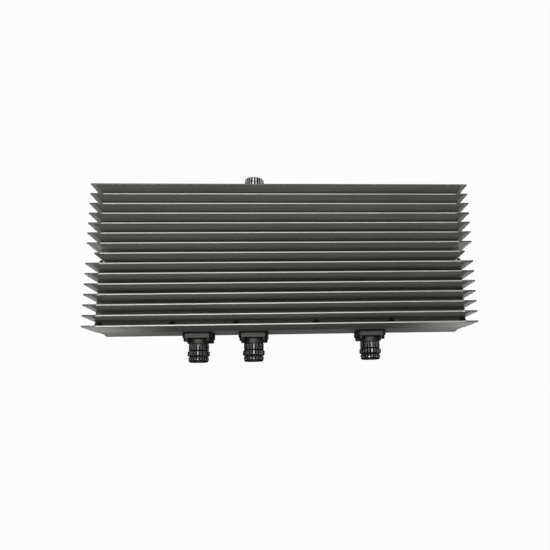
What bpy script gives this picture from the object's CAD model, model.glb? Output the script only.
import math

import bmesh
import bpy
from mathutils import Matrix, Vector


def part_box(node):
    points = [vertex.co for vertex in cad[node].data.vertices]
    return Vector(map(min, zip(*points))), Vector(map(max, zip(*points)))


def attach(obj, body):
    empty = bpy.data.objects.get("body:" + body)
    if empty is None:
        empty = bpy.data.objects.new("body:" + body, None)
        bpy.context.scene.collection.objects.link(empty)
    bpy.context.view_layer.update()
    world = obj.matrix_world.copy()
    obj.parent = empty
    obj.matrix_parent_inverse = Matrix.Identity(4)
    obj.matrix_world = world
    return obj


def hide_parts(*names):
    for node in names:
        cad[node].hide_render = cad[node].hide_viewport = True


# The finished box arrives as separate solids, each where it is fitted. What follows gives every
# one its finish, in the order in which the box is put together, and makes the pieces that carry
# fine detail anew, in the room that their solids hold.
mm = 0.001
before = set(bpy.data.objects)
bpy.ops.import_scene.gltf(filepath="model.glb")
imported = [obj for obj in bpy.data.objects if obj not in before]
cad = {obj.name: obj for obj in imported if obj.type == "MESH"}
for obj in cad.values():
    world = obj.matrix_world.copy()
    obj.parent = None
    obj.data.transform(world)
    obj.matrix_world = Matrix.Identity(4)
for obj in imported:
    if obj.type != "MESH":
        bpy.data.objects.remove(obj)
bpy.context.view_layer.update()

# The picture is taken from almost straight above, a little in front of the box. The camera's
# turn follows from the fin tips, and its shift from the crop of the picture.
picture_px = 550
lens_px = 524.3
picture_middle_px = (316.2, 285.3)
camera_place = (0.0, -0.1158, 0.4836)
camera_turn = [math.radians(a) for a in (11.917, -3.530, -0.526)]

camera = bpy.data.objects.new("camera", bpy.data.cameras.new("camera"))
bpy.context.collection.objects.link(camera)
camera.data.sensor_width = 36
camera.data.lens = lens_px / picture_px * camera.data.sensor_width
camera.data.shift_x = (picture_px / 2 - picture_middle_px[0]) / picture_px
camera.data.shift_y = (picture_middle_px[1] - picture_px / 2) / picture_px
camera.location = camera_place
camera.rotation_mode = "ZYX"
camera.rotation_euler = camera_turn
bpy.context.scene.camera = camera
bpy.context.scene.view_settings.view_transform = "Standard"

# The box lies on a white sheet under soft lamps. The sheet and the ceiling show plain white to the
# camera and in the metal, and the room's walls are dark in the metal. Little light comes to the box
# from the sheet and the room, so the fins' depths stay dark, and the sheet keeps the box's shadow.
room_light = 0.10
# the ceiling begins where a line of length 1 rises by this much
ceiling_rise = 0.6
wall_dark = 0.95
lamp_height = 1.1
sheet_size = 6.0
sheet_drop = 0.2 * mm
sheet_grey = 0.08
sheet_glow = 0.975


class Wire:
    """One output of a node tree, so that sums of node values are written as sums."""

    def __init__(self, tree, socket=None):
        self.tree = tree
        self.socket = socket

    def node(self, kind, settings=None, sockets=None, out=0):
        """Adds a node: its settings first, then the values or wires of its sockets."""
        new = self.tree.nodes.new(kind)
        for name, value in (settings or {}).items():
            setattr(new, name, value)
        for key, value in (sockets or {}).items():
            wires = value if isinstance(value, list) else [value]
            if isinstance(wires[0], Wire):
                for wire in wires:
                    self.tree.links.new(wire.socket, new.inputs[key])
            else:
                new.inputs[key].default_value = value
        return Wire(self.tree, new.outputs[out] if len(new.outputs) else None)

    def math(self, operation, *values):
        return self.node("ShaderNodeMath", {"operation": operation}, dict(enumerate(values)))

    def split(self):
        """The three numbers of a vector."""
        first = self.node("ShaderNodeSeparateXYZ", None, {0: self})
        return [Wire(self.tree, socket) for socket in first.socket.node.outputs]

    def __abs__(self):
        return self.math("ABSOLUTE", self)

    def __add__(self, other):
        return self.math("ADD", self, other)

    def __sub__(self, other):
        return self.math("SUBTRACT", self, other)

    def __rsub__(self, other):
        return self.math("SUBTRACT", other, self)

    def __mul__(self, other):
        return self.math("MULTIPLY", self, other)

    def __truediv__(self, other):
        return self.math("DIVIDE", self, other)

    def __gt__(self, other):
        return self.math("GREATER_THAN", self, other)

    def __lt__(self, other):
        return self.math("LESS_THAN", self, other)

    __radd__ = __add__
    __rmul__ = __mul__


def seen_directly(wire):
    """1 for what the camera, a reflection or glass looks at, and 0 for the light that falls on things."""
    kinds = ("Camera", "Glossy", "Transmission")
    rays = [wire.node("ShaderNodeLightPath", out=f"Is {kind} Ray") for kind in kinds]
    return wire.math("MINIMUM", sum(rays[1:], rays[0]), 1.0)


def new_material(name):
    material = bpy.data.materials.new(name)
    material.use_nodes = True
    material.node_tree.nodes.clear()
    return material, Wire(material.node_tree)


def grey(value):
    return (value, value, value, 1)


world = bpy.data.worlds.new("white_room")
bpy.context.scene.world = world
world.use_nodes = True
world.node_tree.nodes.clear()
wire = Wire(world.node_tree)
walls = wire.node("ShaderNodeTexCoord", out="Generated").split()[2] < ceiling_rise
in_metal = wire.node("ShaderNodeLightPath", out="Is Glossy Ray")
strength = (seen_directly(wire) * (1 - room_light) + room_light) * (1 - walls * in_metal * wall_dark)
background = wire.node("ShaderNodeBackground", None, {"Color": grey(1), "Strength": strength})
wire.node("ShaderNodeOutputWorld", None, {"Surface": background})

sheet_material, wire = new_material("white_sheet")
paper = wire.node("ShaderNodeBsdfDiffuse", None, {"Color": grey(sheet_grey)})
glow = wire.node("ShaderNodeEmission", None, {"Color": grey(1), "Strength": 1.0})
shown = wire.node("ShaderNodeMixShader", None, {0: seen_directly(wire) * sheet_glow, 1: paper, 2: glow})
wire.node("ShaderNodeOutputMaterial", None, {"Surface": shown})

sheet_mesh = bpy.data.meshes.new("white_sheet")
half = sheet_size / 2
corners = ((-half, -half), (half, -half), (half, half), (-half, half))
sheet_mesh.from_pydata([(x, y, -sheet_drop) for x, y in corners], [], [(0, 1, 2, 3)])
sheet_mesh.materials.append(sheet_material)
sheet = bpy.data.objects.new("white_sheet", sheet_mesh)
bpy.context.collection.objects.link(sheet)


def soft_light(name, place, size, watts, target=(0, 0, 0), spread=180):
    """A rectangular lamp that looks at a target. A grid in front of it narrows its spread."""
    lamp = bpy.data.lights.new(name, "AREA")
    lamp.shape = "RECTANGLE"
    lamp.size, lamp.size_y = size
    lamp.energy = watts
    lamp.spread = math.radians(spread)
    thing = bpy.data.objects.new(name, lamp)
    bpy.context.collection.objects.link(thing)
    thing.location = place
    thing.rotation_mode = "QUATERNION"
    thing.rotation_quaternion = (Vector(target) - Vector(place)).to_track_quat("-Z", "Y")


soft_light("front_lamp", (-0.12, -0.47, lamp_height), (0.9, 0.12), 5.2)
soft_light("high_lamp", (-0.12, -0.35, lamp_height), (0.9, 0.12), 5.6)
soft_light("top_lamp", (0.12, 0.014, lamp_height), (0.56, 0.05), 1.0, target=(0.12, -0.1, 0))
soft_light("rear_lamp", (-0.25, 0.47, lamp_height), (0.5, 0.25), 1.6)
soft_light("back_lamp", (0.0, 0.95, 0.75), (1.2, 0.4), 2.0)
for side in (-1, 1):
    soft_light("side_lamp", (side * 1.2, 0.1, 0.5), (0.5, 0.8), 1.2)
    corner = (side * 0.18, -0.06, 0.05)
    soft_light("corner_lamp", (side * 0.24, -0.9, 0.1), (0.04, 0.04), 0.07, target=corner, spread=11)

# The housing is a frame milled from thick aluminium plate, with a bottom cover. Both are coated
# matte black, with a fine orange peel, and their edges are broken by a small chamfer.
edge_break = 0.35 * mm
weld_reach = 0.001 * mm
coat_colour = (0.064, 0.066, 0.060)
coat_roughness = 0.6
peel_per_metre = 1400
peel_depth = 0.012 * mm


def object_place(wire):
    return wire.node("ShaderNodeTexCoord", out="Object")


def noise(wire, grains, detail=2.0):
    """Noise from 0 to 1, fixed to the piece: grains gives how many there are to a metre on each axis."""
    place = wire.node("ShaderNodeMapping", None, {"Vector": object_place(wire), "Scale": grains})
    return wire.node("ShaderNodeTexNoise", None, {"Vector": place, "Scale": 1.0, "Detail": detail})


def mix_colour(mask, first, second):
    return mask.node("ShaderNodeMix", {"data_type": "RGBA"}, {0: mask, 6: first, 7: second}, out=2)


def shades(wire, colour, spread):
    """A colour that wanders a little darker and lighter as the wire goes from 0 to 1."""
    darker = [c * (1 - spread) for c in colour] + [1]
    lighter = [c * (1 + spread) for c in colour] + [1]
    return mix_colour(wire, darker, lighter)


def bump(height, depth):
    return height.node("ShaderNodeBump", None, {"Strength": 1.0, "Distance": depth, "Height": height})


def close_material(wire, sockets):
    surface = wire.node("ShaderNodeBsdfPrincipled", None, sockets)
    wire.node("ShaderNodeOutputMaterial", None, {"Surface": surface})


def sprayed_coat(name):
    """Matte coat with the small bumps that a spray gun leaves."""
    material, wire = new_material(name)
    skin = noise(wire, (peel_per_metre, peel_per_metre, peel_per_metre))
    cloud = noise(wire, (40, 40, 40))
    close_material(wire, {
        "Base Color": shades(cloud * 0.6 + skin * 0.4, coat_colour, 0.35),
        "Roughness": skin * 0.12 + (coat_roughness - 0.06),
        "Specular IOR Level": 0.05,
        "Normal": bump(skin, peel_depth),
    })
    return material


def dress(node, material):
    slots = cad[node].data.materials
    slots.clear()
    slots.append(material)


def break_edges(piece, width, angle=35):
    """Breaks the sharp edges of a piece, once its loose triangles are joined into whole faces."""
    weld = piece.modifiers.new("weld", "WELD")
    weld.merge_threshold = weld_reach
    flat = piece.modifiers.new("flat", "DECIMATE")
    flat.decimate_type = "DISSOLVE"
    flat.angle_limit = math.radians(0.5)
    edge = piece.modifiers.new("edge", "BEVEL")
    edge.width = width
    edge.segments = 2
    edge.limit_method = "ANGLE"
    edge.angle_limit = math.radians(angle)
    edge.harden_normals = True


housing_coat = sprayed_coat("housing_coat")
for node in ("housing_frame", "bottom_cover"):
    dress(node, housing_coat)
    break_edges(cad[node], edge_break)

# Round posts of white fluoropolymer stand on the cover and between the bars, and hold the two
# coupled pairs at their gap. They are turned and cut to length, with nothing painted on them.
turning_depth = 0.006 * mm


def matte_white(name, colour, roughness):
    """White plastic or ceramic, with the faint marks of a lathe or a grinding wheel."""
    material, wire = new_material(name)
    turning = noise(wire, (300, 300, 3000))
    close_material(wire, {
        "Base Color": shades(noise(wire, (90, 90, 90)), colour, 0.03),
        "Roughness": turning * 0.1 + (roughness - 0.05),
        "Normal": bump(turning, turning_depth),
    })
    return material


fluoropolymer = matte_white("fluoropolymer", (0.82, 0.82, 0.79), 0.45)
for node in ("posts_a", "posts_b"):
    dress(node, fluoropolymer)

# The coupled bars and the link between the two pairs are sawn from brass strip and silver plated.
# The plating is satin, and has begun to tarnish in faint warm clouds. Two stainless screws hold the
# link.
bar_edge = 0.2 * mm
brushing_depth = 0.004 * mm
lengthwise = (60, 2500, 2500)


def mark(wire, name):
    """A number that a mesh carries on its faces, and 0 where it carries none."""
    return wire.node("ShaderNodeAttribute", {"attribute_name": name}, out="Fac")


def bright_metal(name, colour, roughness, tarnish, grains):
    """Plated or plain metal with a fine grain and soft clouds of tarnish. A screw's socket is dark."""
    material, wire = new_material(name)
    socket = mark(wire, "socket")
    brushed = noise(wire, grains)
    cloud = noise(wire, (120, 120, 120), 3.0)
    clean = shades(brushed, colour, 0.06)
    stained = [*tarnish, 1]
    close_material(wire, {
        "Base Color": mix_colour(socket, mix_colour(cloud * 0.5, clean, stained), grey(0.01)),
        "Metallic": 1 - socket * 0.9,
        "Roughness": brushed * 0.15 + cloud * 0.1 + (roughness - 0.12),
        "Normal": bump(brushed, brushing_depth),
    })
    return material


silver_plate = bright_metal("silver_plate", (0.80, 0.79, 0.76), 0.3, (0.62, 0.52, 0.38), lengthwise)
bars = [f"hybrid_{pair}_{level}_bar" for pair in "ab" for level in ("upper", "lower")]
for node in bars + ["link_strip"]:
    dress(node, silver_plate)
    break_edges(cad[node], bar_edge)

stainless = bright_metal("stainless", (0.58, 0.58, 0.57), 0.28, (0.45, 0.44, 0.42), (900, 900, 900))
dress("link_screws", stainless)
break_edges(cad["link_screws"], bar_edge)

# Each load is a white ceramic resistor on a copper flange, bolted up against the heat sink. A
# bent silver plated strip leads from it to the end of its bar.
load_edge = 0.2 * mm

bare_copper = bright_metal("bare_copper", (0.72, 0.39, 0.27), 0.35, (0.36, 0.17, 0.11), lengthwise)
ceramic = matte_white("ceramic", (0.80, 0.80, 0.76), 0.6)
for load in "ab":
    dress(f"load_{load}_flange", bare_copper)
    dress(f"load_{load}_ceramic", ceramic)
    dress(f"load_{load}_lead", silver_plate)
    for part in ("flange", "ceramic", "lead"):
        break_edges(cad[f"load_{load}_{part}"], load_edge)

# Cap screws with a knurled head and a hexagon socket hold the loads, the heat sink and the ports.
# They are stainless steel at the loads and in the middle of each end, and blackened elsewhere.
head_r = 2.75 * mm
head_h = 3.0 * mm
head_edge = 0.3 * mm
shank_r = 1.47 * mm
knurl_teeth = 36
knurl_depth = 0.11 * mm
socket_r = 1.25 * mm / math.cos(math.radians(30))
socket_depth = 1.6 * mm
cap_screw_sides = 72
same_corner = 0.0001 * mm
oxide_colour = (0.02, 0.02, 0.02)
oxide_grain = 0.006 * mm


def ring_radius(form, radius, step, sides):
    """How far out a ring's point lies: on a circle, on a knurl, or on a hexagon of that corner radius."""
    if form == "knurl":
        return radius - knurl_depth * (step % (sides // knurl_teeth))
    if form == "hexagon":
        angle = (math.tau * step / sides) % (math.tau / 6)
        return radius * math.cos(math.tau / 12) / math.cos(angle - math.tau / 12)
    return radius


def turned(name, rings, sides, closed=False):
    """A mesh round Z. A ring is (radius, height, form), and a radius of 0 closes it in a point."""
    shell = bmesh.new()
    rows = []
    for radius, height, form in rings:
        if radius == 0:
            rows.append([shell.verts.new((0, 0, height))] * sides)
            continue
        row = []
        for step in range(sides):
            angle = math.tau * step / sides
            out = ring_radius(form, radius, step, sides)
            row.append(shell.verts.new((out * math.cos(angle), out * math.sin(angle), height)))
        rows.append(row)
    pairs = list(zip(rows, rows[1:]))
    if closed:
        pairs.append((rows[-1], rows[0]))
    for low, high in pairs:
        for step in range(sides):
            after = (step + 1) % sides
            loop = [low[step], low[after], high[after], high[step]]
            shell.faces.new(list(dict.fromkeys(loop)))
    bmesh.ops.recalc_face_normals(shell, faces=shell.faces)
    mesh = bpy.data.meshes.new(name)
    shell.to_mesh(mesh)
    shell.free()
    return mesh


def smooth(mesh, angle=35):
    """Shades a mesh round, apart from the edges sharper than the angle."""
    mesh.shade_smooth()
    mesh.set_sharp_from_angle(angle=math.radians(angle))
    return mesh


def mark_faces(mesh, name, rule):
    """Gives every face a number by a rule on its middle, for its material to read."""
    marks = mesh.attributes.new(name, "FLOAT", "FACE")
    for face, value in zip(mesh.polygons, marks.data):
        value.value = float(rule(face.center))
    return mesh


def cap_screw(whole):
    """The middle of the head's top is at the origin, and the shank points down to the whole length."""
    rings = [
        (0, -whole, "round"),
        (shank_r - head_edge, -whole, "round"),
        (shank_r, head_edge - whole, "round"),
        (shank_r, -head_h, "round"),
        (head_r - head_edge / 2, -head_h, "round"),
        (head_r, head_edge / 2 - head_h, "round"),
        (head_r, head_edge - head_h, "knurl"),
        (head_r, -head_edge * 2, "knurl"),
        (head_r - head_edge / 3, -head_edge, "round"),
        (head_r - head_edge, 0, "round"),
        (socket_r + head_edge / 2, 0, "round"),
        (socket_r, -head_edge / 2, "hexagon"),
        (socket_r, -socket_depth, "hexagon"),
        (0, -socket_depth - head_edge, "round"),
    ]
    screw = smooth(turned("cap_screw", rings, cap_screw_sides))
    return mark_faces(screw, "socket", lambda spot: spot.xy.length < socket_r and spot.z > -head_h)


def islands(node):
    """The lowest and highest corners of each separate solid of a node."""
    shell = bmesh.new()
    shell.from_mesh(cad[node].data)
    bmesh.ops.remove_doubles(shell, verts=shell.verts, dist=same_corner)
    waiting = set(shell.verts)
    found = []
    while waiting:
        fringe = [waiting.pop()]
        part = []
        while fringe:
            vertex = fringe.pop()
            part.append(vertex.co.copy())
            near = {edge.other_vert(vertex) for edge in vertex.link_edges} & waiting
            waiting -= near
            fringe += near
        found.append(tuple(Vector(pick(c[k] for c in part) for k in range(3)) for pick in (min, max)))
    shell.free()
    return sorted(found, key=lambda pair: tuple(round(c, 5) for c in pair[0]))


def heads(node, outwards):
    """The middle of each screw head's top, and the screws' whole length."""
    outwards = Vector(outwards)
    spots = []
    for low, high in islands(node):
        size = high - low
        whole = abs(size.dot(outwards))
        spots.append((low + high) / 2 + outwards * whole / 2)
    return spots, whole


def new_tree(name, inputs):
    """A geometry tree with named inputs. Gives the tree, and a wire for the geometry and each input."""
    tree = bpy.data.node_groups.new(name, "GeometryNodeTree")
    tree.is_modifier = True
    tree.interface.new_socket("Geometry", in_out="OUTPUT", socket_type="NodeSocketGeometry")
    for label, kind in {"Geometry": "Geometry", **inputs}.items():
        tree.interface.new_socket(label, in_out="INPUT", socket_type="NodeSocket" + kind)
    entry = tree.nodes.new("NodeGroupInput")
    return tree, [Wire(tree, socket) for socket in entry.outputs if socket.name]


def close_tree(geometry, material):
    """Ends a tree: copies become plain mesh, in the piece's own material."""
    plain = geometry.node("GeometryNodeRealizeInstances", None, {0: geometry})
    plain = geometry.node("GeometryNodeSetMaterial", None, {0: plain, "Material": material})
    geometry.node("NodeGroupOutput", None, {0: plain})


def show(name, mesh):
    piece = bpy.data.objects.new(name, mesh)
    bpy.context.collection.objects.link(piece)
    return piece


def settle(piece):
    """Turns a piece and its modifiers into a plain mesh."""
    graph = bpy.context.evaluated_depsgraph_get()
    mesh = bpy.data.meshes.new_from_object(piece.evaluated_get(graph), depsgraph=graph)
    piece.modifiers.clear()
    piece.data = mesh
    return piece


def grow(piece, tree, values):
    """Runs a tree on a piece: each value is set by the identifier of the socket that has its name."""
    modifier = piece.modifiers.new(tree.name, "NODES")
    modifier.node_group = tree
    for item in tree.interface.items_tree:
        if item.in_out == "INPUT" and item.name in values:
            modifier[item.identifier] = values[item.name]
    return settle(piece)


def hand_over(piece, node):
    """A finished piece rides on the box, in the place of its plain solids."""
    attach(piece, "root")
    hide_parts(node)


screw_tree, (spots, screw, stand, seed, metal) = new_tree(
    "screws_on_spots", {"Screw": "Object", "Stand": "Vector", "Seed": "Int", "Metal": "Material"}
)
sockets = {"Object": screw, "As Instance": True}
one_screw = screw.node("GeometryNodeObjectInfo", None, sockets, out="Geometry")
sockets = {"Points": spots, "Instance": one_screw, "Rotation": stand}
screws = spots.node("GeometryNodeInstanceOnPoints", None, sockets)
spin = spots.node("FunctionNodeRandomValue", {"data_type": "FLOAT"}, {3: math.tau, "Seed": seed}, out=1)
spin = spots.node("ShaderNodeCombineXYZ", None, {"Z": spin})
sockets = {"Instances": screws, "Rotation": spin, "Local Space": True}
screws = spots.node("GeometryNodeRotateInstances", None, sockets)
close_tree(screws, metal)

up = (0, 0, 1)
down = (0, 0, -1)
forward = (0, -1, 0)
backward = (0, 1, 0)
quarter = math.pi / 2
stand_for = {up: (0, 0, 0), down: (math.pi, 0, 0), forward: (quarter, 0, 0), backward: (-quarter, 0, 0)}


def set_screws(node, outwards, make, material, seed):
    """Sets one screw on every head of a node, each turned by chance."""
    places, whole = heads(node, outwards)
    master = show("one_screw", make(whole))
    name = f"{node}_detailed"
    mesh = bpy.data.meshes.new(name)
    mesh.from_pydata([tuple(p) for p in places], [], [])
    values = {"Screw": master, "Stand": stand_for[outwards], "Seed": seed, "Metal": material}
    piece = grow(show(name, mesh), screw_tree, values)
    bpy.data.objects.remove(master)
    hand_over(piece, node)


def black_oxide(name):
    material, wire = new_material(name)
    fine = noise(wire, (2500, 2500, 2500))
    close_material(wire, {
        "Base Color": shades(fine, oxide_colour, 0.3),
        "Metallic": 0.7,
        "Roughness": fine * 0.2 + 0.35,
        "Specular IOR Level": 0.0,
        "Specular Tint": grey(0.15),
        "Normal": bump(fine, oxide_grain),
    })
    return material


blackened = black_oxide("blackened_steel")
for load in "ab":
    set_screws(f"load_{load}_screws", down, cap_screw, stainless, seed=11)

# A port is a square flange and a turned barrel in one piece, plated dark. The barrel carries fine
# ribs over its shoulder, collar and end ring. Their plating is rubbed bright at the end, and most
# of all on the back port.
port_z = 16.0 * mm
flange_w = 25.4 * mm
flange_chamfer = 2.6 * mm
flange_from = 1.2 * mm
flange_t = 3.8 * mm
flange_edge = 0.3 * mm
flange_screw_pitch = 18.3 * mm
flange_hole_r = 1.7 * mm
spigot_r = 7.0 * mm
spigot_end = -8.0 * mm
neck_r = 8.5 * mm
relief = 0.6 * mm
relief_len = 1.0 * mm
groove_r = 7.9 * mm
ring_edge = 0.5 * mm
barrel_end = 25.4 * mm
bore_r = 5.05 * mm
room_r = 6.2 * mm
room_from = 10.0 * mm
mouth_r = 7.3 * mm
mouth_from = 22.8 * mm
lip_r = 8.4 * mm
lip_chamfer = 0.8 * mm
rib_count = 22
rib_gap = 1.2 * mm
rib_round = 0.1 * mm
rib_sunk = 0.15 * mm
# of the six faces round a rib's block, from the foot: its top and the two rounded edges beside it
rib_skin = (1, 2, 3)
barrel_sides = 96
flange_hole_sides = 40
same_point = 0.0005 * mm
# below this angle, in degrees, two faces of a port shade as one round face
port_crease = 14
satin_colour = (0.056, 0.057, 0.053)
polished_colour = (0.085, 0.086, 0.082)
rubbed_colour = (0.50, 0.50, 0.49)
gap_grey = 0.012
turning_marks = 0.0015 * mm

# The ribbed rings in millimetres, from the flange outwards. Each has the radius of the floor between
# its ribs, and a rib's outline: radius, distance from the wall, the gap beside it as a share of the
# full gap, and how far its plating is rubbed bright. The long collar is the back port's.
shoulder = (7.9, (
    (8.5, 9.6, 0.1, 0), (8.7, 10.4, 0.3, 0), (8.7, 13.2, 0.9, 0), (8.7, 15.0, 1, 0), (8.5, 15.3, 1, 0),
))
collar = (8.5, (
    (9.1, 15.9, 1, 0), (9.6, 16.4, 1, 0), (9.6, 19.5, 1, 0), (9.2, 20.0, 1, 0), (8.8, 20.3, 1, 0),
))
end_ring = (8.0, (
    (8.4, 21.2, 1, 0), (8.75, 21.6, 1, 0), (8.75, 23.1, 1, 0.15), (8.65, 23.7, 1, 0.15),
    (8.45, 24.0, 1, 0.15),
))
long_collar = (7.9, (
    (9.1, 15.9, 1, 1), (9.6, 16.4, 1, 1), (9.6, 19.5, 1, 1), (9.0, 21.2, 1, 1), (8.75, 24.5, 1, 1),
    (8.4, 25.0, 1, 1),
))


def dark_plating(name):
    """Dark nickel on turned brass: satin on the flange, polished on the ribs, black in the gaps."""
    material, wire = new_material(name)
    lathe = noise(wire, (120, 4000, 120))
    cloud = noise(wire, (250, 250, 250), 3.0)
    rib, rubbed, gap = (mark(wire, part) for part in ("rib", "rubbed", "gap"))
    uneven = cloud * 0.6 + lathe * 0.4
    plating = mix_colour(rib, shades(uneven, satin_colour, 0.4), shades(uneven, polished_colour, 0.4))
    plating = mix_colour(rubbed, plating, shades(uneven, rubbed_colour, 0.2))
    close_material(wire, {
        "Base Color": mix_colour(gap, plating, grey(gap_grey)),
        "Metallic": 0.95 - gap * 0.95,
        "Roughness": cloud * 0.1 + 0.45 - rib * 0.34 + rubbed * 0.2 + gap * 0.2,
        "Specular IOR Level": 0.0,
        "Specular Tint": grey(0.15),
        "Normal": bump(lathe, turning_marks),
    })
    return material


def settle_curve(drawing):
    """Turns a drawn outline into a mesh."""
    holder = show(drawing.name, drawing)
    graph = bpy.context.evaluated_depsgraph_get()
    mesh = bpy.data.meshes.new_from_object(holder.evaluated_get(graph), depsgraph=graph)
    bpy.data.objects.remove(holder)
    return mesh


def flat_plate(name, outline, holes, thickness, edge):
    """A plate with round holes and broken edges, lying from Z = 0 up."""
    drawing = bpy.data.curves.new(name, "CURVE")
    drawing.dimensions = "2D"
    drawing.fill_mode = "BOTH"
    drawing.extrude = thickness / 2 - edge
    drawing.bevel_depth = edge
    drawing.bevel_resolution = 1
    drawing.offset = -edge
    loops = [outline]
    for x, y, radius in holes:
        turns = [math.tau * k / flange_hole_sides for k in range(flange_hole_sides)]
        loops.append([(x + radius * math.cos(a), y + radius * math.sin(a)) for a in turns])
    for loop in loops:
        spline = drawing.splines.new("POLY")
        spline.points.add(len(loop) - 1)
        for point, (x, y) in zip(spline.points, loop):
            point.co = (x, y, 0, 1)
        spline.use_cyclic_u = True
    mesh = settle_curve(drawing)
    mesh.transform(Matrix.Translation((0, 0, thickness / 2)))
    return mesh


def add_mesh(shell, mesh, place):
    """Adds a mesh to a bmesh at a place."""
    mesh = mesh.copy()
    mesh.transform(place)
    shell.from_mesh(mesh)
    bpy.data.meshes.remove(mesh)


def port_flange():
    h = flange_w / 2
    c = h - flange_chamfer
    outline = [(c, -h), (h, -c), (h, c), (c, h), (-c, h), (-h, c), (-h, -c), (-c, -h)]
    far = flange_screw_pitch / 2
    holes = [(x, y, flange_hole_r) for x in (-far, far) for y in (-far, far)]
    holes.append((0, 0, neck_r - relief - rib_sunk))
    return flat_plate("port_flange", outline, holes, flange_t, flange_edge)


def port_barrel():
    """The turned core, up to the floor of the gaps between its ribs, with its stepped bore."""
    rings = [(bore_r, spigot_end), (spigot_r - ring_edge, spigot_end), (spigot_r, spigot_end + ring_edge)]
    flange_to = flange_from + flange_t
    relief_r = neck_r - relief
    relief_end = flange_to + relief_len
    rings += [(spigot_r, flange_from + flange_edge), (relief_r, flange_from + flange_edge)]
    rings += [(relief_r, flange_to), (relief_r, relief_end), (neck_r, relief_end)]
    before = neck_r
    for floor, outline in (shoulder, collar, end_ring):
        start, end = outline[0][1] * mm, outline[-1][1] * mm
        rings += [(before, start), (floor * mm, start), (floor * mm, end), (groove_r, end)]
        before = groove_r
    rings += [(lip_r, end), (lip_r, barrel_end - lip_chamfer), (lip_r - lip_chamfer, barrel_end)]
    rings += [(mouth_r, barrel_end), (mouth_r, mouth_from), (room_r, mouth_from)]
    rings += [(room_r, room_from), (bore_r, room_from)]
    mesh = turned("port_barrel", [(r, s, "round") for r, s in rings], barrel_sides, closed=True)
    ribs_from = shoulder[1][0][1] * mm
    black = ((flange_to, relief_end), (ribs_from, barrel_end))

    def in_shade(spot):
        return spot.xy.length > (room_r + neck_r) / 2 and any(low < spot.z < high for low, high in black)

    return mark_faces(mesh, "gap", in_shade)


def one_rib(rings):
    """The ribs of one line along the barrel: a block on each ribbed ring."""
    rib = bmesh.new()
    marks = {name: rib.faces.layers.float.new(name) for name in ("rib", "rubbed", "gap")}
    for floor, outline in rings:
        rows = []
        for top, along, gap_share, _ in outline:
            top, along, gap = top * mm, along * mm, rib_gap * gap_share
            foot = floor * mm - rib_sunk
            spots = []
            for r, turn_in in ((foot, 0), (top - rib_round, 0), (top, rib_round)):
                spots.append((r, math.pi / rib_count - (gap / 2 + turn_in) / r))
            cut = [(r, -wide) for r, wide in spots] + [(r, wide) for r, wide in reversed(spots)]
            rows.append([rib.verts.new((r * math.cos(a), r * math.sin(a), along)) for r, a in cut])
        for step, (low_row, high_row) in enumerate(zip(rows, rows[1:])):
            for k in range(len(low_row)):
                after = (k + 1) % len(low_row)
                face = rib.faces.new((low_row[k], low_row[after], high_row[after], high_row[k]))
                skin = k in rib_skin
                face[marks["rib"]] = float(skin)
                face[marks["gap"]] = float(not skin)
                face[marks["rubbed"]] = skin * min(outline[step][3], outline[step + 1][3])
        rib.faces.new(rows[0])
        rib.faces.new(rows[-1])
    bmesh.ops.recalc_face_normals(rib, faces=rib.faces)
    mesh = bpy.data.meshes.new("one_rib")
    rib.to_mesh(mesh)
    rib.free()
    return mesh


rib_tree, (rib, count, phase, metal) = new_tree(
    "ribs_round_axis", {"Count": "Int", "Phase": "Float", "Metal": "Material"}
)
spots = rib.node("GeometryNodeMeshLine", None, {"Count": count, "Offset": (0, 0, 0)})
turn = rib.node("GeometryNodeInputIndex") / count * math.tau + phase
turn = rib.node("ShaderNodeCombineXYZ", None, {"Z": turn})
ribs = rib.node("GeometryNodeInstanceOnPoints", None, {"Points": spots, "Instance": rib, "Rotation": turn})
close_tree(ribs, metal)

# Three ports stand on the front wall and one on the back wall, each on a black rubber gasket and
# fixed by four blackened cap screws. In its bore, a turned white bush holds the slotted contact,
# which is gold plated.
port_plating = dark_plating("port_plating")
wall_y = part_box("housing_frame")[1].y
flange_mesh = port_flange()
barrel_mesh = port_barrel()
gold_plate = bright_metal("gold_plate", (0.80, 0.58, 0.24), 0.22, (0.66, 0.42, 0.14), (200, 3000, 200))
rubber_colour = (0.007, 0.007, 0.007)
rubber_grain = 0.01 * mm


def rubber(name):
    material, wire = new_material(name)
    fine = noise(wire, (1800, 1800, 1800))
    close_material(wire, {
        "Base Color": shades(fine, rubber_colour, 0.2),
        "Roughness": fine * 0.15 + 0.7,
        "Specular IOR Level": 0.05,
        "Normal": bump(fine, rubber_grain),
    })
    return material


seal_rubber = rubber("seal_rubber")
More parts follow.
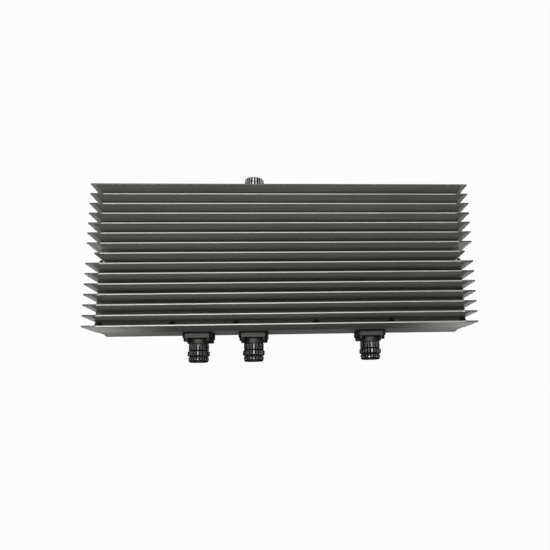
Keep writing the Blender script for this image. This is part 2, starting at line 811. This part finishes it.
# how far each port's topmost rib leans from upright towards +X, in degrees
rib_lean = {1: 4.5, 2: 4.0, 3: 1.2, 4: -3.0}
for port, lean in rib_lean.items():
    low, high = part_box(f"port_{port}_body")
    side = math.copysign(1, low.y + high.y)
    axis_x = (low.x + high.x) / 2
    stand = Matrix.Translation((axis_x, side * wall_y, port_z)) @ Matrix.Rotation(-side * quarter, 4, "X")
    values = {"Count": rib_count, "Phase": side * math.radians(lean - 90), "Metal": port_plating}
    rings = (shoulder, collar, end_ring) if side < 0 else (shoulder, long_collar)
    ribs = grow(show(f"port_{port}_ribs", one_rib(rings)), rib_tree, values)
    shell = bmesh.new()
    add_mesh(shell, flange_mesh, stand @ Matrix.Translation((0, 0, flange_from)))
    add_mesh(shell, barrel_mesh, stand)
    add_mesh(shell, ribs.data, stand)
    bmesh.ops.remove_doubles(shell, verts=shell.verts, dist=same_point)
    mesh = bpy.data.meshes.new(f"port_{port}_jack")
    shell.to_mesh(mesh)
    shell.free()
    mesh.materials.append(port_plating)
    bpy.data.objects.remove(ribs)
    hand_over(show(f"port_{port}_jack", smooth(mesh, port_crease)), f"port_{port}_body")
    dress(f"port_{port}_gasket", seal_rubber)
    dress(f"port_{port}_insulator", fluoropolymer)
    dress(f"port_{port}_contact", gold_plate)
    outwards = forward if side < 0 else backward
    set_screws(f"port_{port}_screws", outwards, cap_screw, blackened, seed=20 + port)

# Two rubber cords lie in grooves round the cavity, one under the heat sink and one over the
# bottom cover. They are cut to length, joined, and pressed flat by the screws.
for node in ("top_seal", "bottom_seal"):
    dress(node, seal_rubber)

# The heat sink is one aluminium extrusion, anodised dark grey, then sawn to length. The tips of its
# fins are ground bare, apart from the rear fin's and the last centimetre of each. The middle fin is
# milled away at both ends for a screw.
fin_count = 15
fin_height = 30.0 * mm
fin_tip = 1.3 * mm
fin_root = 1.9 * mm
base_t = 5.0 * mm
middle_cut = 6.5 * mm
unground = 10.6 * mm
fin_tip_round = 0.38 * mm
fin_foot_round = 0.6 * mm
clear_hole_r = 1.7 * mm
tapped_hole_r = 1.5 * mm
tapped_hole_depth = 3.8 * mm
hole_sides = 32
# how near to a cut face a place has to be to belong to it
cut_reach = 0.02 * mm
ground_reach = 0.005 * mm
wall_reach = 0.05 * mm
slot_colour = (0.165, 0.171, 0.157)
wall_colour = (0.110, 0.113, 0.104)
tip_grey = 0.05
ground_colour = (0.32, 0.32, 0.31)
sawn_colour = (0.52, 0.52, 0.50)
skin_shine = 0.75
skin_roughness = 0.05
die_lines = 0.005 * mm
sink_crease = 30
heat_sink_low, heat_sink_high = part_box("heat_sink")
fin_length = heat_sink_high.x - heat_sink_low.x
fin_pitch = (heat_sink_high.y - heat_sink_low.y - fin_tip) / (fin_count - 1)
base_top = heat_sink_low.z + base_t

fin_tree, (_, fins, pitch, height, tip, root, base, length, tip_round, foot_round, metal) = new_tree(
    "finned_profile",
    {
        "Fins": "Int", "Pitch": "Float", "Fin height": "Float", "Tip": "Float", "Root": "Float",
        "Base": "Float", "Length": "Float", "Tip round": "Float", "Foot round": "Float",
        "Metal": "Material",
    },
)
# the outline has four corners to a fin, and the outermost two are the corners of the base
corner = fins.node("GeometryNodeInputIndex")
last = fins * 4 - 1
fin = fins.math("FLOOR", corner / 4)
spot = corner - fin * 4
side = (spot > 1.5) * 2 - 1
from_middle = fin - (fins - 1) / 2
at_tip = abs(spot - 1.5) < 1
at_end = abs(corner - last / 2) > last / 2 - 0.5
at_edge = abs(from_middle) > (fins - 1) / 2 - 0.5
upright = fins.math("MAXIMUM", at_tip, at_end)
half_foot = root / 2 + at_edge * (root - tip) / 2
across = from_middle * pitch + side * (upright * tip / 2 + (1 - upright) * half_foot)
rise = (1 - at_end) * base + at_tip * height
outline = fins.node("GeometryNodeMeshLine", None, {"Count": last + 1})
outline = fins.node("GeometryNodeMeshToCurve", None, {0: outline})
outline = fins.node("GeometryNodeSetSplineCyclic", None, {0: outline, "Cyclic": True})
corner_place = fins.node("ShaderNodeCombineXYZ", None, {"X": across, "Y": rise})
outline = fins.node("GeometryNodeSetPosition", None, {0: outline, "Position": corner_place})
rounding = at_tip * tip_round + (1 - upright) * foot_round
sockets = {0: outline, "Count": 3, "Radius": rounding}
outline = fins.node("GeometryNodeFilletCurve", {"mode": "POLY"}, sockets)
profile = fins.node("GeometryNodeFillCurve", {"mode": "NGONS"}, {0: outline})
along = fins.node("ShaderNodeCombineXYZ", None, {"Z": length})
sockets = {0: profile, "Offset": along, "Offset Scale": 1.0, "Individual": False}
swept = fins.node("GeometryNodeExtrudeMesh", {"mode": "FACES"}, sockets)
near_end = fins.node("GeometryNodeFlipFaces", None, {0: profile})
whole = fins.node("GeometryNodeJoinGeometry", None, {0: [swept, near_end]})
whole = fins.node("GeometryNodeMergeByDistance", None, {0: whole, "Distance": weld_reach})
start = fins.node("ShaderNodeCombineXYZ", None, {"X": length * -0.5, "Z": heat_sink_low.z})
sockets = {0: whole, "Translation": start, "Rotation": (quarter, 0, quarter)}
whole = fins.node("GeometryNodeTransform", None, sockets)
close_tree(whole, metal)


def fin_metal(name):
    """Anodised, with the die's lengthwise lines, shiny on the fins' faces, and bare where cut or ground."""
    material, wire = new_material(name)
    x, y, z = object_place(wire).split()
    fine = noise(wire, (16, 1300, 1300))
    broad = noise(wire, (7, 420, 420), 3.0)
    cloud = noise(wire, (14, 30, 30))
    saw = noise(wire, (4000, 900, 120))
    cutter = noise(wire, (1500, 500, 1500))
    tip = z > heat_sink_high.z - fin_tip_round
    ground = (abs(x) < heat_sink_high.x - unground) * (y < heat_sink_high.y - fin_pitch / 2)
    ground_tip = ground * (z > heat_sink_high.z - ground_reach)
    sawn_end = abs(x) > heat_sink_high.x - cut_reach
    milled = (abs(x) > heat_sink_high.x - middle_cut - cut_reach) * (abs(y) < fin_pitch / 2)
    milled = milled * (z > base_top - cut_reach)
    cut = wire.math("MAXIMUM", sawn_end, milled)
    bare = wire.math("MAXIMUM", ground_tip, cut)
    outside = abs(y) > heat_sink_high.y - wall_reach
    slot_side = (z > base_top + fin_foot_round) * (1 - outside)
    lines = fine * 0.5 + broad * 0.5
    slot_dye = shades(lines * 0.8 + cloud * 0.2, slot_colour, 0.85)
    wall_dye = shades(lines * 0.8 + cloud * 0.2, wall_colour, 0.7)
    anodised = mix_colour(outside, slot_dye, wall_dye)
    anodised = mix_colour(tip * (1 - ground), anodised, grey(tip_grey))
    ground_metal = shades(lines, ground_colour, 0.15)
    sawn_metal = shades(saw * 0.5 + cutter * 0.5, sawn_colour, 0.12)
    scratched = mix_colour(cut, ground_metal, sawn_metal)
    close_material(wire, {
        "Base Color": mix_colour(bare, anodised, scratched),
        "Metallic": bare,
        "Roughness": (1 - bare) * (lines * 0.2 + 0.5) + bare * (saw * 0.15 + 0.4),
        "Specular IOR Level": 0.0,
        "Coat Weight": (1 - bare) * slot_side * skin_shine,
        "Coat Roughness": skin_roughness,
        "Normal": bump(lines * (1 - cut) + saw * cut, die_lines),
    })
    return material


sink_metal = fin_metal("sink_metal")
values = {
    "Fins": fin_count, "Pitch": fin_pitch, "Fin height": fin_height, "Tip": fin_tip, "Root": fin_root,
    "Base": base_t, "Length": fin_length, "Tip round": fin_tip_round, "Foot round": fin_foot_round,
    "Metal": sink_metal,
}
heat_sink = grow(show("heat_sink_detailed", bpy.data.meshes.new("heat_sink_detailed")), fin_tree, values)

sink_screw_nodes = ("heat_sink_screws", "fin_end_screws")
load_screw_nodes = ("load_a_screws", "load_b_screws")
cuts = bmesh.new()
for end in (-1, 1):
    middle = (end * fin_length / 2, 0, base_top + fin_height)
    size = (2 * middle_cut, fin_pitch - 2 * fin_foot_round, 2 * fin_height)
    bmesh.ops.create_cube(cuts, size=1, matrix=Matrix.Translation(middle) @ Matrix.Diagonal((*size, 1)))
holes = [(place, clear_hole_r, 2 * base_t) for node in sink_screw_nodes for place in heads(node, up)[0]]
for node in load_screw_nodes:
    holes += [(place, tapped_hole_r, tapped_hole_depth) for place in heads(node, down)[0]]
for place, radius, depth in holes:
    where = Matrix.Translation((place.x, place.y, heat_sink_low.z))
    bmesh.ops.create_cone(
        cuts, cap_ends=True, segments=hole_sides, radius1=radius, radius2=radius, depth=2 * depth,
        matrix=where,
    )
mesh = bpy.data.meshes.new("cuts")
cuts.to_mesh(mesh)
cuts.free()
cutter_piece = show("cuts", mesh)
boolean = heat_sink.modifiers.new("cut", "BOOLEAN")
boolean.operation = "DIFFERENCE"
boolean.solver = "EXACT"
boolean.use_self = True
boolean.object = cutter_piece
settle(heat_sink)
bpy.data.objects.remove(cutter_piece)
heat_sink.data.materials.clear()
heat_sink.data.materials.append(sink_metal)
smooth(heat_sink.data, sink_crease)
hand_over(heat_sink, "heat_sink")

set_screws("heat_sink_screws", up, cap_screw, blackened, seed=31)
set_screws("fin_end_screws", up, cap_screw, stainless, seed=32)

# Small countersunk screws with a hexagon socket hold the bottom cover. They sit just below its
# face, along the long walls and in pairs at the ends.
flat_head_r = 2.75 * mm
flat_head_edge = 0.12 * mm
flat_socket_r = 1.0 * mm / math.cos(math.radians(30))
flat_socket_depth = 1.0 * mm
flat_screw_sides = 48


def countersunk_screw(whole):
    cone_h = flat_head_r - shank_r
    rings = [
        (0, -whole, "round"),
        (shank_r - head_edge, -whole, "round"),
        (shank_r, head_edge - whole, "round"),
        (shank_r, -cone_h, "round"),
        (flat_head_r, -flat_head_edge, "round"),
        (flat_head_r - flat_head_edge, 0, "round"),
        (flat_socket_r + flat_head_edge, 0, "round"),
        (flat_socket_r, -flat_head_edge, "hexagon"),
        (flat_socket_r, -flat_socket_depth, "hexagon"),
        (0, -flat_socket_depth - flat_head_edge, "round"),
    ]
    return smooth(turned("countersunk_screw", rings, flat_screw_sides))


set_screws("cover_screws", down, countersunk_screw, blackened, seed=41)
